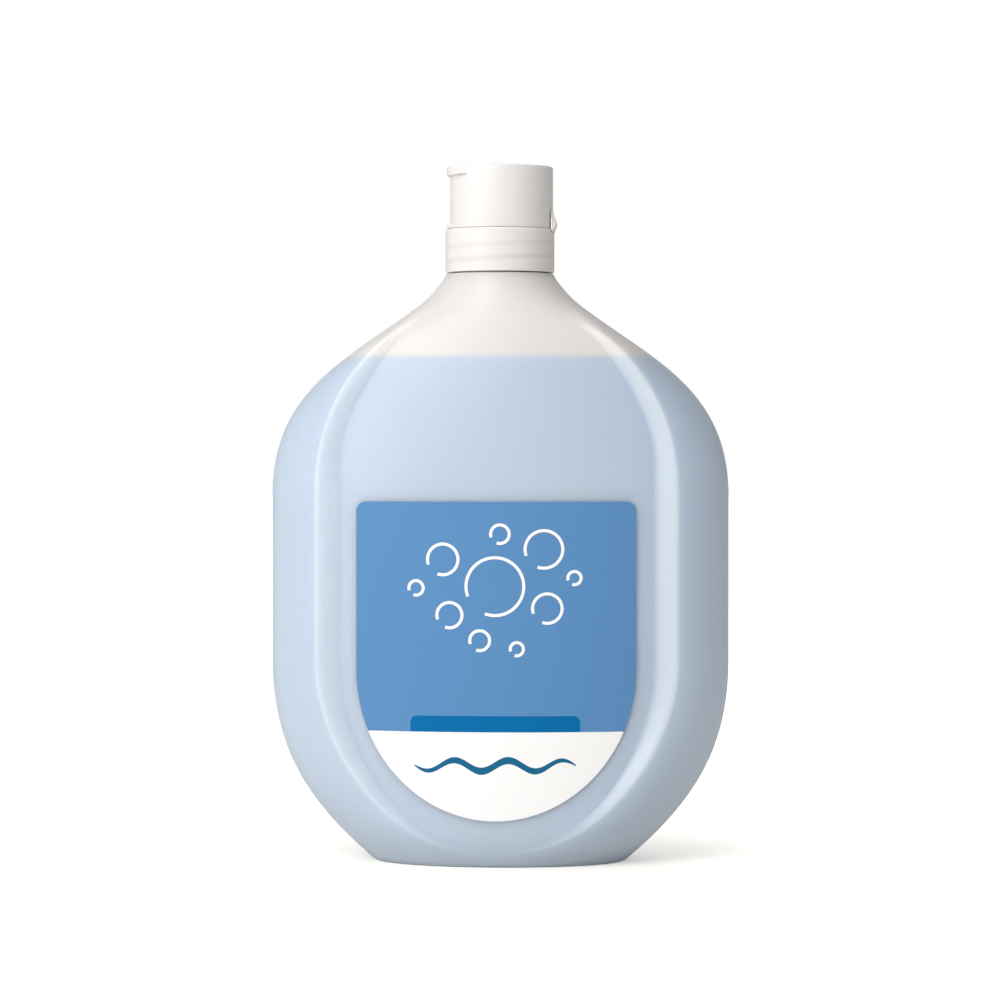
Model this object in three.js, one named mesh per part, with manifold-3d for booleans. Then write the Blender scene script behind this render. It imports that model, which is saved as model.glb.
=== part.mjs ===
// Refill bottle of foaming hand soap with a flip-top screw cap, standing on its base.
// Millimetres, +Z up, front label towards -Y, thumb recess of the lid towards -X and its
// hinge towards +X. The origin is the middle of the base, on the surface it stands on.
import * as THREE from 'three';
import { mergeVertices } from 'three/addons/utils/BufferGeometryUtils.js';
import Module from 'manifold-3d';

const wasm = await Module();
wasm.setup();

// Bottle body, as half sizes about the vertical axis
const BODY_HALF_WIDTH = 69.3;
const BODY_HALF_DEPTH = 28.9;
const BASE_HALF_WIDTH = 38;
const BASE_HALF_DEPTH = 22;
const BASE_PUSH_UP = 2.5;
const STAND_RING = 7;
const HEEL_TOP = 60.7;
const SHOULDER_BOTTOM = 110.4;
const NECK_RADIUS = 16.2;
const NECK_TOP = 177.6;
const NECK_FLARE = 10.6;
const NECK_FLARE_WIDTH = 9.7;
const NECK_FLARE_DEPTH = 2;
const NECK_BLEND = 24;
const NECK_ROUND = 4;
const BOTTLE_WALL = 1;

// Recessed front and back panels inside their raised frame
const PANEL_RADIUS = 140;
const PANEL_HALF_WIDTH = 47.4;
const FRAME_WIDTH = 6.3;
const FRAME_RISE = 1.9;
const FRAME_RISE_FROM = 4;
const FRAME_RISE_FULL = 34;
const FRAME_NECK_DROP = 5.7;
const RIDGE_FOOT = 3.8;
const VALLEY_FOOT = 4.9;
const RIDGE_SHOULDER = SHOULDER_BOTTOM + 2;
const VALLEY_SHOULDER = SHOULDER_BOTTOM + 10;
const RIDGE_LIMIT = 0.93;
const VALLEY_LIMIT = 0.94;

// Outline curves, each by its two pulls: shares of the way across and up from its start to its end
const HEEL_PULLS = [0.585, 0.26, 1, 0.512];
const SHOULDER_PULLS = [0, 0.567, 0.521, 0.724];
const FLARE_PULLS = [0.423, 0.264, 0.856, 0.717];
const HEEL_DEPTH_PULLS = [0.565, 0.308, 1, 0.548];
const SHOULDER_DEPTH_PULLS = [0, 0.458, 0.673, 0.837];
const RIDGE_HEEL_PULLS = [0.6, 0, 1, 0.578];
const RIDGE_SHOULDER_PULLS = [0, 0.655, 0.859, 0.894];
const VALLEY_HEEL_PULLS = [0.6, 0, 1, 0.554];
const VALLEY_SHOULDER_PULLS = [0, 0.369, 0.686, 0.831];

// Screw finish above the neck: a 28 mm thread
const FINISH_RADIUS = 12.6;
const FINISH_HEIGHT = 10.4;
const LEDGE_HEIGHT = 0.3;
const RIM_CHAMFER = 0.4;
const BORE_RADIUS = 10.5;
const THREAD_HEIGHT = 1.2;
const THREAD_LEAD = 4.233;
const THREAD_TURNS = 1.4;
const THREAD_CREST = 1.1;
const THREAD_START = 2.6;
const THREAD_SINK = 0.3;
const THREAD_RUN_OUT = 1 / 12;
const THREAD_SLOPE = Math.tan(THREE.MathUtils.degToRad(30));

// Soap
const SOAP_LEVEL = 152.4;
const SOAP_GAP = 0.3;

// Labels
const LABEL_HALF_WIDTH = 41.6;
const LABEL_TOP = 109;
const LABEL_BOTTOM = 14.6;
const LABEL_BOW = 44.7;
const LABEL_CORNER = 2.8;
const LABEL_FILM = 0.3;
const LABEL_PRINT = 0.2;
const LABEL_GAP = 0.2;
const PRINT_GAP = 0.1;
const LOWER_FIELD_TOP = 40.9;
const TAB_HALF_WIDTH = 25.2;
const TAB_HEIGHT = 4.8;
const TAB_CORNER = 2;
const FIELD_GAP = 0.15;
const BUBBLE_LINE = 0.9;
const BUBBLE_OPENING = THREE.MathUtils.degToRad(50);
const WAVE_LEVEL = 31;
const WAVE_HALF_LENGTH = 24;
const WAVE_HEIGHT = 1.6;
const WAVE_HALF_LINE = 1;
const WAVE_CRESTS = 3;
const WAVE_STEPS = 36;

// Bubbles on the blue field, as middle across, middle up and radius
const BUBBLES = [
  [0, 84, 9], [-15.5, 92, 5], [14.5, 95, 6], [-13.5, 75.5, 4.2], [15.5, 77.5, 4.8],
  [1.5, 99.5, 3.2], [-4.5, 68, 3.4], [6.5, 65.5, 2.4], [-23.5, 83.5, 2.6], [23.5, 86.5, 2.4],
];

// Cap
const LID_HEIGHT = 18.6;
const SKIRT_RADIUS = 16.5;
const SKIRT_WALL = 2.1;
const SKIRT_CLEARANCE = 0.6;
const DECK_THICKNESS = 1.4;
const LID_RADIUS = 16.1;
const LID_WALL = 2.1;
const LID_TOP_THICKNESS = 1.5;
const PARTING_GAP = 0.3;
const SEAL_THICKNESS = 0.8;
const SEAT_GAP = 0.3;
const THREAD_CLEARANCE = 0.35;
const CAP_THREAD_TURNS = 1.25;
const SEAL_MARGIN = 0.1;
const EDGE_BREAK = 0.5;
const PLUG_LENGTH = 2.6;
const PLUG_WALL = 1.1;
const SPOUT_TUBE_RADIUS = 7.65;
const SPOUT_TUBE_WALL = 1.1;
const TUBE_BEAD = 0.3;
const TUBE_BEAD_HEIGHT = 2.1;
const SPOUT_HEIGHT = 6.4;
const SPOUT_BORE = 4.6;
const SPOUT_TAPER = 0.8;
const SEAL_OVERLAP = 1.9;
const RECESS_DEPTH = 1.05;
const RECESS_HALF_ANGLE = THREE.MathUtils.degToRad(53.5);
const RECESS_BOTTOM = 0.9;
const RECESS_TOP = 2.6;
const RECESS_CORNER = 3;
const HINGE_HALF_WIDTH = 5;
const HINGE_REACH = 17.15;
const HINGE_LINE = 1.4;
const HINGE_UP = 5.2;
const HINGE_DOWN = 0.8;
const HINGE_THICKNESS = 0.9;
const HINGE_POCKET = 0.8;
const HINGE_CLEARANCE = 0.3;

// How finely round shapes are cut
const PANEL_COLUMNS = 5;
const SIDE_COLUMNS = 4;
const ROUND_SEGMENTS = 40;
const OUTLINE_STEPS = 60;
const HEEL_ROWS = 10;
const WALL_ROWS = 2;
const SHOULDER_ROWS = 15;

// Heights that follow from the sizes above
const LEDGE_TOP = NECK_TOP + LEDGE_HEIGHT;
const RIM_TOP = LEDGE_TOP + FINISH_HEIGHT;
const SEAL_BOTTOM = RIM_TOP + SEAT_GAP;
const DECK_BOTTOM = SEAL_BOTTOM + SEAL_THICKNESS + SEAT_GAP;
const DECK_TOP = DECK_BOTTOM + DECK_THICKNESS;
const SKIRT_BOTTOM = LEDGE_TOP + SKIRT_CLEARANCE;
const LID_BOTTOM = DECK_TOP + PARTING_GAP;
const CAP_TOP = LID_BOTTOM + LID_HEIGHT;
const HINGE_HEIGHT = LID_BOTTOM + HINGE_LINE;
const HINGE_TOP = LID_BOTTOM + HINGE_UP;
const HINGE_FOOT = DECK_TOP - HINGE_DOWN;

// Solids, joined and cut
function closeSeams(geometry) {
  const bare = new THREE.BufferGeometry();
  bare.setAttribute('position', geometry.getAttribute('position'));
  bare.setIndex(geometry.getIndex());
  const merged = mergeVertices(bare, 1e-4);
  const index = merged.getIndex().array;
  const kept = [];
  for (let i = 0; i < index.length; i += 3) {
    const [a, b, c] = index.slice(i, i + 3);
    if (a !== b && b !== c && c !== a) kept.push(a, b, c);
  }
  merged.setIndex(kept);
  return facesOut(merged);
}

function facesOut(geometry) {
  const position = geometry.getAttribute('position');
  const index = geometry.getIndex().array;
  const corner = [0, 1, 2].map(() => new THREE.Vector3());
  let volume = 0;
  for (let i = 0; i < index.length; i += 3) {
    corner.forEach((point, k) => point.fromBufferAttribute(position, index[i + k]));
    volume += corner[0].dot(corner[1].cross(corner[2]));
  }
  if (volume < 0) index.reverse();
  return geometry;
}

function toSolid(geometry) {
  const closed = closeSeams(geometry);
  return new wasm.Manifold(new wasm.Mesh({
    numProp: 3,
    vertProperties: new Float32Array(closed.getAttribute('position').array),
    triVerts: new Uint32Array(closed.getIndex().array),
  }));
}

function toGeometry(solid) {
  const mesh = solid.getMesh();
  const geometry = new THREE.BufferGeometry();
  geometry.setAttribute('position', new THREE.BufferAttribute(mesh.vertProperties, 3));
  geometry.setIndex(new THREE.BufferAttribute(mesh.triVerts, 1));
  geometry.computeVertexNormals();
  return geometry;
}

// A solid of revolution about Z from [radius, height] corners
function turned(corners, segments = ROUND_SEGMENTS) {
  const points = [...corners, corners[0]].map(([radius, height]) => new THREE.Vector2(radius, height));
  return new THREE.LatheGeometry(points, segments).rotateX(Math.PI / 2);
}

// A straight extrusion of [x, y] corners, bent round Z: place() turns each corner and its share of
// the way along into a radius, an angle and a height
function wrapped(corners, steps, place) {
  const shape = new THREE.Shape(corners.map(([x, y]) => new THREE.Vector2(x, y)));
  const geometry = new THREE.ExtrudeGeometry(shape, { depth: 1, steps, bevelEnabled: false });
  const position = geometry.getAttribute('position');
  for (let i = 0; i < position.count; i += 1) {
    const { radius, angle, height } = place(position.getX(i), position.getY(i), position.getZ(i));
    position.setXYZ(i, radius * Math.cos(angle), radius * Math.sin(angle), height);
  }
  return geometry;
}

// Outlines of the bottle, as paths of (half size, height)
function curveTo(path, endX, endY, [acrossFirst, upFirst, acrossLast, upLast]) {
  const { x, y } = path.currentPoint;
  path.bezierCurveTo(x + acrossFirst * (endX - x), y + upFirst * (endY - y),
    x + acrossLast * (endX - x), y + upLast * (endY - y), endX, endY);
}

function bodyOutline() {
  const path = new THREE.Path().moveTo(BASE_HALF_WIDTH, 0);
  curveTo(path, BODY_HALF_WIDTH, HEEL_TOP, HEEL_PULLS);
  path.lineTo(BODY_HALF_WIDTH, SHOULDER_BOTTOM);
  curveTo(path, NECK_RADIUS + NECK_FLARE_WIDTH, NECK_TOP - NECK_FLARE, SHOULDER_PULLS);
  curveTo(path, NECK_RADIUS, NECK_TOP, FLARE_PULLS);
  return path.getPoints(OUTLINE_STEPS);
}

function depthOutline() {
  const path = new THREE.Path().moveTo(BASE_HALF_DEPTH, 0);
  curveTo(path, BODY_HALF_DEPTH, LABEL_BOTTOM, HEEL_DEPTH_PULLS);
  path.lineTo(BODY_HALF_DEPTH, SHOULDER_BOTTOM);
  curveTo(path, NECK_RADIUS + NECK_FLARE_DEPTH, NECK_TOP - FRAME_NECK_DROP, SHOULDER_DEPTH_PULLS);
  path.lineTo(NECK_RADIUS, NECK_TOP);
  return path.getPoints(OUTLINE_STEPS);
}

function frameOutline(halfWidth, foot, heelPulls, shoulder, shoulderPulls) {
  const path = new THREE.Path().moveTo(0, foot);
  curveTo(path, halfWidth, HEEL_TOP, heelPulls);
  path.lineTo(halfWidth, shoulder);
  curveTo(path, NECK_RADIUS, NECK_TOP - FRAME_NECK_DROP, shoulderPulls);
  return path.getPoints(OUTLINE_STEPS);
}

const outlines = {
  width: bodyOutline(),
  depth: depthOutline(),
  ridge: frameOutline(PANEL_HALF_WIDTH + FRAME_WIDTH, RIDGE_FOOT, RIDGE_HEEL_PULLS,
    RIDGE_SHOULDER, RIDGE_SHOULDER_PULLS),
  valley: frameOutline(PANEL_HALF_WIDTH, VALLEY_FOOT, VALLEY_HEEL_PULLS,
    VALLEY_SHOULDER, VALLEY_SHOULDER_PULLS),
};

function sizeAt(points, height) {
  if (height <= points[0].y) return points[0].x;
  const above = points.findIndex((point) => point.y >= height);
  if (above < 1) return points[points.length - 1].x;
  const [low, high] = [points[above - 1], points[above]];
  const share = (height - low.y) / (high.y - low.y || 1);
  return low.x + share * (high.x - low.x);
}

function panelSag(x) {
  return PANEL_RADIUS - Math.sqrt(PANEL_RADIUS ** 2 - x ** 2);
}

function panelDepth(x, height) {
  return sizeAt(outlines.depth, height) - panelSag(x);
}

// One quarter of the level section at a height, from the side (x = width) to the panel's middle.
// A round neck blends into the oval body, whose panel lies behind a raised frame.
function quarterSection(height) {
  const width = sizeAt(outlines.width, height);
  const depth = sizeAt(outlines.depth, height);
  const ridge = Math.min(sizeAt(outlines.ridge, height), RIDGE_LIMIT * width);
  const valley = Math.min(sizeAt(outlines.valley, height), VALLEY_LIMIT * ridge);
  const rise = FRAME_RISE * THREE.MathUtils.smoothstep(height, FRAME_RISE_FROM, FRAME_RISE_FULL);
  const ridgeDepth = panelDepth(valley, height) + rise;
  const ridgeShare = ridge / width;
  const oval = ridgeDepth / Math.sqrt(1 - ridgeShare ** 2);
  const points = [];
  for (let i = 0; i <= SIDE_COLUMNS; i += 1) {
    const angle = Math.acos(ridgeShare) * (i / SIDE_COLUMNS);
    points.push(new THREE.Vector2(width * Math.cos(angle), oval * Math.sin(angle)));
  }
  for (let i = 0; i <= PANEL_COLUMNS; i += 1) {
    const x = valley * (1 - i / PANEL_COLUMNS);
    points.push(new THREE.Vector2(x, panelDepth(x, height)));
  }
  const neck = THREE.MathUtils.smoothstep(height, NECK_TOP - NECK_BLEND, NECK_TOP - NECK_ROUND);
  return points.map((point, i) => {
    const turn = (i / (points.length - 1)) * (Math.PI / 2);
    const round = new THREE.Vector2(width * Math.cos(turn), depth * Math.sin(turn));
    return point.lerp(round, neck);
  });
}

// The whole level section, once round from +X
function fullSection(height) {
  const quarter = quarterSection(height);
  const half = [...quarter, ...quarter.slice(0, -1).reverse().map((p) => new THREE.Vector2(-p.x, p.y))];
  const back = half.slice(1, -1).reverse().map((p) => new THREE.Vector2(p.x, -p.y));
  return [...half, ...back];
}

// Heights of the rows up the bottle's outside, closer together towards the base and the neck
function bodyHeights() {
  const shares = (count) => Array.from({ length: count }, (_, i) => i / count);
  const heel = shares(HEEL_ROWS).map((share) => HEEL_TOP * share ** 1.5);
  const wall = shares(WALL_ROWS).map((share) => HEEL_TOP + (SHOULDER_BOTTOM - HEEL_TOP) * share);
  const shoulder = shares(SHOULDER_ROWS).map((share) => (
    NECK_TOP - (NECK_TOP - SHOULDER_BOTTOM) * (1 - share) ** 1.6));
  return [...heel, ...wall, ...shoulder, NECK_TOP];
}

function outwardLean(height) {
  const step = 0.5;
  const growth = sizeAt(outlines.width, height + step) - sizeAt(outlines.width, height - step);
  return new THREE.Vector2(2 * step, -growth).normalize();
}

// A row pushed in from the outside by a thickness, square to the slope of the side outline
function insetRow(height, thickness, floor) {
  const lean = outwardLean(height);
  const width = sizeAt(outlines.width, height);
  const depth = sizeAt(outlines.depth, height);
  return {
    height,
    z: Math.max(height - thickness * lean.y, floor),
    xShare: (width - thickness * lean.x) / width,
    yShare: (depth - thickness * lean.x) / depth,
  };
}

function baseRow(share, z) {
  return { height: 0, z, xShare: share, yShare: share };
}

function roundRow(radius, z) {
  return { radius, z };
}

// A closed solid through rows of sections, laid out as a lathe and then shaped row by row
function lofted(rows) {
  const columns = fullSection(0).length;
  const geometry = new THREE.LatheGeometry(rows.map((row) => new THREE.Vector2(1, row.z)), columns);
  const position = geometry.getAttribute('position');
  rows.forEach((row, j) => {
    const section = row.radius === undefined ? fullSection(row.height) : null;
    for (let i = 0; i <= columns; i += 1) {
      const vertex = i * rows.length + j;
      const turn = (i % columns) * ((2 * Math.PI) / columns);
      const x = section ? section[i % columns].x * row.xShare : row.radius * Math.cos(turn);
      const y = section ? section[i % columns].y * row.yShare : row.radius * Math.sin(turn);
      position.setXYZ(vertex, x, y, row.z);
    }
  });
  return geometry;
}

const RING_SHARE = 1 - STAND_RING / BASE_HALF_WIDTH;

// Rows up the inside of the bottle, or of what fills it, at a thickness in from its outside. The
// lowest and the highest row of the outside have no row inside.
function cavityRows(thickness) {
  return [
    roundRow(0, BASE_PUSH_UP + thickness),
    baseRow(0.5 * RING_SHARE, BASE_PUSH_UP + thickness),
    baseRow(RING_SHARE, thickness),
    baseRow(1 - (1.6 * thickness) / BASE_HALF_DEPTH, thickness),
    ...bodyHeights().slice(2, -1).map((height) => insetRow(height, thickness, thickness)),
  ];
}

function bottle() {
  const outside = [
    roundRow(0, BASE_PUSH_UP),
    baseRow(0.5 * RING_SHARE, BASE_PUSH_UP),
    baseRow(RING_SHARE, 0),
    ...bodyHeights().map((height) => ({ height, z: height, xShare: 1, yShare: 1 })),
    roundRow(FINISH_RADIUS, LEDGE_TOP),
    roundRow(FINISH_RADIUS, RIM_TOP - RIM_CHAMFER),
    roundRow(FINISH_RADIUS - RIM_CHAMFER, RIM_TOP),
  ];
  const inside = [
    roundRow(BORE_RADIUS, RIM_TOP),
    roundRow(BORE_RADIUS, NECK_TOP - BOTTLE_WALL),
    ...cavityRows(BOTTLE_WALL).reverse(),
  ];
  const shell = toSolid(lofted([...outside, ...inside]));
  const thread = toSolid(screwThread(FINISH_RADIUS, FINISH_RADIUS + THREAD_HEIGHT, 0, THREAD_TURNS, 0));
  return toGeometry(shell.add(thread));
}

// A helical ridge from its root radius to its crest, both ends run out, sunk a little into its wall
function screwThread(root, crest, from, turns, lift) {
  const outward = Math.sign(crest - root);
  const half = THREAD_CREST / 2;
  const foot = half + Math.abs(crest - root) * THREAD_SLOPE;
  const sunk = root - outward * THREAD_SINK;
  const corners = [[sunk, -foot], [root, -foot], [crest, -half], [crest, half], [root, foot], [sunk, foot]];
  const start = LEDGE_TOP + THREAD_START + lift;
  return wrapped(corners, Math.round(turns * ROUND_SEGMENTS), (x, y, share) => {
    const height = Math.max(0, Math.min(1, Math.min(share, 1 - share) / THREAD_RUN_OUT));
    const angle = from + share * turns * 2 * Math.PI;
    const radius = outward * (x - root) > 0 ? root + (x - root) * height + outward * 0.01 : x;
    return { radius, angle, height: start + y + (THREAD_LEAD * angle) / (2 * Math.PI) };
  });
}

// The soap fills the bottle up to its level, a little clear of the wall
function soap() {
  const rows = cavityRows(BOTTLE_WALL + SOAP_GAP).reverse();
  const full = toSolid(lofted([roundRow(0, rows[0].z), ...rows]));
  const above = new THREE.BoxGeometry(4 * BODY_HALF_WIDTH, 4 * BODY_HALF_DEPTH, CAP_TOP);
  return toGeometry(full.subtract(toSolid(above.translate(0, 0, SOAP_LEVEL + CAP_TOP / 2))));
}

// Label film and its printed fields, cut from sheets that follow the panel's curve
function panelSheet(gap, thickness) {
  const columns = 2 * PANEL_COLUMNS + 2;
  const reach = LABEL_HALF_WIDTH + 1;
  const height = LABEL_TOP - LABEL_BOTTOM + 2;
  const geometry = new THREE.BoxGeometry(2 * reach, thickness, height, columns, 1, 1);
  const position = geometry.getAttribute('position');
  for (let i = 0; i < position.count; i += 1) {
    const x = position.getX(i);
    const y = position.getY(i) - panelDepth(x, SHOULDER_BOTTOM) - gap - thickness / 2;
    position.setXYZ(i, x, y, position.getZ(i) + (LABEL_TOP + LABEL_BOTTOM) / 2);
  }
  return toSolid(geometry);
}

function cutter(shape, curveSegments = 12) {
  const depth = 2 * BODY_HALF_DEPTH;
  const geometry = new THREE.ExtrudeGeometry(shape, { depth, curveSegments, bevelEnabled: false });
  return toSolid(geometry.rotateX(Math.PI / 2));
}

// The label's outline: round top corners, straight sides, half an ellipse below, cut off at a floor
function labelShape(floor) {
  const w = LABEL_HALF_WIDTH;
  const c = LABEL_CORNER;
  const centre = LABEL_BOTTOM + LABEL_BOW;
  const dip = Math.asin((centre - floor) / LABEL_BOW);
  const shape = new THREE.Shape().moveTo(w, centre);
  shape.absarc(w - c, LABEL_TOP - c, c, 0, Math.PI / 2);
  shape.absarc(c - w, LABEL_TOP - c, c, Math.PI / 2, Math.PI);
  shape.absellipse(0, centre, w, LABEL_BOW, Math.PI, Math.PI + dip);
  shape.absellipse(0, centre, w, LABEL_BOW, 2 * Math.PI - dip, 2 * Math.PI);
  return shape;
}

function tabShape(clearance) {
  const w = TAB_HALF_WIDTH + clearance;
  const c = TAB_CORNER + clearance;
  const top = LOWER_FIELD_TOP + TAB_HEIGHT + clearance;
  const shape = new THREE.Shape().moveTo(w, LOWER_FIELD_TOP - clearance);
  shape.absarc(w - c, top - c, c, 0, Math.PI / 2);
  shape.absarc(c - w, top - c, c, Math.PI / 2, Math.PI);
  shape.lineTo(-w, LOWER_FIELD_TOP - clearance);
  return shape;
}

// A soap bubble as an open ring: the place in the blue field where the white film shows
function bubbleShape([x, z, radius]) {
  const from = BUBBLE_OPENING / 2 - (3 * Math.PI) / 4;
  const to = from + 2 * Math.PI - BUBBLE_OPENING;
  const shape = new THREE.Shape();
  shape.absarc(x, z, radius, from, to);
  shape.absarc(x, z, radius - BUBBLE_LINE, to, from, true);
  return shape;
}

function waveShape() {
  const top = [];
  for (let i = 0; i <= WAVE_STEPS; i += 1) {
    const x = WAVE_HALF_LENGTH * ((2 * i) / WAVE_STEPS - 1);
    const swell = WAVE_HEIGHT * Math.sin((WAVE_CRESTS * Math.PI * x) / WAVE_HALF_LENGTH);
    const half = 0.1 + WAVE_HALF_LINE * Math.cos((Math.PI * x) / (2 * WAVE_HALF_LENGTH)) ** 0.5;
    top.push({ x, z: WAVE_LEVEL + swell, half });
  }
  const upper = top.map(({ x, z, half }) => new THREE.Vector2(x, z + half));
  const lower = top.map(({ x, z, half }) => new THREE.Vector2(x, z - half)).reverse();
  return new THREE.Shape([...lower, ...upper]);
}

const PRINT_LAYER = LABEL_GAP + LABEL_FILM + PRINT_GAP;

function labelFilm() {
  return panelSheet(LABEL_GAP, LABEL_FILM).intersect(cutter(labelShape(LABEL_BOTTOM)));
}

function blueField() {
  const floor = LOWER_FIELD_TOP;
  const field = panelSheet(PRINT_LAYER, LABEL_PRINT).intersect(cutter(labelShape(floor)));
  const pierced = BUBBLES.reduce((left, bubble) => left.subtract(cutter(bubbleShape(bubble), 8)), field);
  return toGeometry(pierced.subtract(cutter(tabShape(FIELD_GAP), 6)));
}

function printed(shape) {
  return toGeometry(panelSheet(PRINT_LAYER, LABEL_PRINT).intersect(cutter(shape, 6)));
}

// Cap, seal and hinge
function capBase() {
  const inner = SKIRT_RADIUS - SKIRT_WALL;
  const plug = BORE_RADIUS - SEAT_GAP;
  const spout = SPOUT_TUBE_RADIUS - SPOUT_TUBE_WALL - SEAT_GAP;
  const body = toSolid(turned([
    [SKIRT_RADIUS, SKIRT_BOTTOM],
    [SKIRT_RADIUS, DECK_TOP - EDGE_BREAK],
    [SKIRT_RADIUS - EDGE_BREAK, DECK_TOP],
    [spout, DECK_TOP],
    [spout - SPOUT_TAPER, DECK_TOP + SPOUT_HEIGHT],
    [SPOUT_BORE, DECK_TOP + SPOUT_HEIGHT],
    [SPOUT_BORE, DECK_BOTTOM],
    [plug - PLUG_WALL, DECK_BOTTOM],
    [plug - PLUG_WALL, DECK_BOTTOM - PLUG_LENGTH],
    [plug, DECK_BOTTOM - PLUG_LENGTH],
    [plug, DECK_BOTTOM],
    [inner, DECK_BOTTOM],
    [inner, SKIRT_BOTTOM],
  ]));
  const crest = FINISH_RADIUS + THREAD_CLEARANCE;
  const thread = toSolid(screwThread(inner, crest, -Math.PI, CAP_THREAD_TURNS, THREAD_LEAD / 2));
  return toGeometry(body.add(thread).subtract(hingePocket(SKIRT_RADIUS)));
}

function lid() {
  const underside = CAP_TOP - LID_TOP_THICKNESS;
  const inner = LID_RADIUS - LID_WALL;
  const tubeInner = SPOUT_TUBE_RADIUS - SPOUT_TUBE_WALL;
  const tubeFoot = DECK_TOP + SPOUT_HEIGHT - SEAL_OVERLAP;
  const bead = SPOUT_TUBE_RADIUS + TUBE_BEAD;
  const body = toSolid(turned([
    [LID_RADIUS, LID_BOTTOM],
    [LID_RADIUS, CAP_TOP - EDGE_BREAK],
    [LID_RADIUS - EDGE_BREAK, CAP_TOP],
    [0, CAP_TOP],
    [0, underside],
    [tubeInner, underside],
    [tubeInner, tubeFoot],
    [bead, tubeFoot],
    [bead, tubeFoot + TUBE_BEAD_HEIGHT],
    [SPOUT_TUBE_RADIUS, tubeFoot + TUBE_BEAD_HEIGHT],
    [SPOUT_TUBE_RADIUS, underside],
    [inner, underside],
    [inner, LID_BOTTOM],
  ]));
  return toGeometry(body.subtract(toSolid(thumbRecess())).subtract(hingePocket(LID_RADIUS)));
}

// The shallow recess round the lid's front that the thumb lifts it by, with round lower corners
function thumbRecess() {
  const floor = LID_RADIUS - RECESS_DEPTH;
  const low = LID_BOTTOM + RECESS_BOTTOM;
  const high = CAP_TOP - RECESS_TOP;
  const corners = [[floor, 0], [LID_RADIUS + 1, 0], [LID_RADIUS + 1, 1], [floor, 1]];
  return wrapped(corners, 24, (x, y, share) => {
    const eased = (1 - Math.cos(Math.PI * share)) / 2;
    const swing = RECESS_HALF_ANGLE * (2 * eased - 1);
    const toEnd = (RECESS_HALF_ANGLE - Math.abs(swing)) * LID_RADIUS;
    const short = Math.max(0, RECESS_CORNER - toEnd);
    const lift = RECESS_CORNER - Math.sqrt(RECESS_CORNER ** 2 - short ** 2);
    return { radius: x, angle: Math.PI + swing, height: y ? high : low + lift };
  });
}

// The hinge strap lies in a shallow flat pocket across the lid and the cap's ring
function hingePocket(radius) {
  const reach = 2 * HINGE_POCKET + HINGE_REACH;
  const low = HINGE_FOOT - HINGE_CLEARANCE;
  const high = HINGE_TOP + HINGE_CLEARANCE;
  const pocket = new THREE.BoxGeometry(reach, 2 * (HINGE_HALF_WIDTH + HINGE_CLEARANCE), high - low);
  return toSolid(pocket.translate(radius - HINGE_POCKET + reach / 2, 0, (low + high) / 2));
}

function hingeStrap() {
  const inset = HINGE_POCKET - HINGE_CLEARANCE;
  const section = new THREE.Shape([
    [SKIRT_RADIUS - inset, HINGE_FOOT],
    [SKIRT_RADIUS, HINGE_FOOT],
    [HINGE_REACH, HINGE_HEIGHT],
    [LID_RADIUS, HINGE_TOP],
    [LID_RADIUS - inset, HINGE_TOP],
    [HINGE_REACH - HINGE_THICKNESS, HINGE_HEIGHT],
  ].map(([x, z]) => new THREE.Vector2(x, z)));
  const depth = 2 * HINGE_HALF_WIDTH;
  const strap = new THREE.ExtrudeGeometry(section, { depth, bevelEnabled: false });
  return closeSeams(strap.rotateX(Math.PI / 2).translate(0, HINGE_HALF_WIDTH, 0));
}

function sealRing() {
  const inner = BORE_RADIUS + SEAL_MARGIN;
  const outer = FINISH_RADIUS + THREAD_CLEARANCE - SEAL_MARGIN;
  const top = SEAL_BOTTOM + SEAL_THICKNESS;
  return closeSeams(turned([[inner, SEAL_BOTTOM], [outer, SEAL_BOTTOM], [outer, top], [inner, top]]));
}

const parts = new THREE.Group();

function addPiece(name, geometry, colour, roughness, opacity = 1) {
  const material = new THREE.MeshStandardMaterial({
    color: colour, roughness, metalness: 0, opacity, transparent: opacity < 1,
  });
  const mesh = new THREE.Mesh(geometry, material);
  mesh.name = name;
  parts.add(mesh);
}

addPiece('bottle', bottle(), '#e9ecf0', 0.4, 0.6);
addPiece('soap', soap(), '#b9d3ee', 0.1, 0.9);
addPiece('front_label', toGeometry(labelFilm()), '#ffffff', 0.4);
addPiece('front_label_blue_field', blueField(), '#6395c6', 0.4);
addPiece('front_label_tab', printed(tabShape(0)), '#0670aa', 0.4);
addPiece('front_label_wave', printed(waveShape()), '#1d688f', 0.4);
addPiece('back_label', toGeometry(labelFilm().mirror([0, 1, 0])), '#ffffff', 0.4);
addPiece('cap_seal_ring', sealRing(), '#f4f4f2', 0.7);
addPiece('cap_base', capBase(), '#eeeae8', 0.35, 0.85);
addPiece('hinge_strap', hingeStrap(), '#eeeae8', 0.35, 0.85);
addPiece('cap_lid', lid(), '#eeeae8', 0.35, 0.85);

export default parts;
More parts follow.
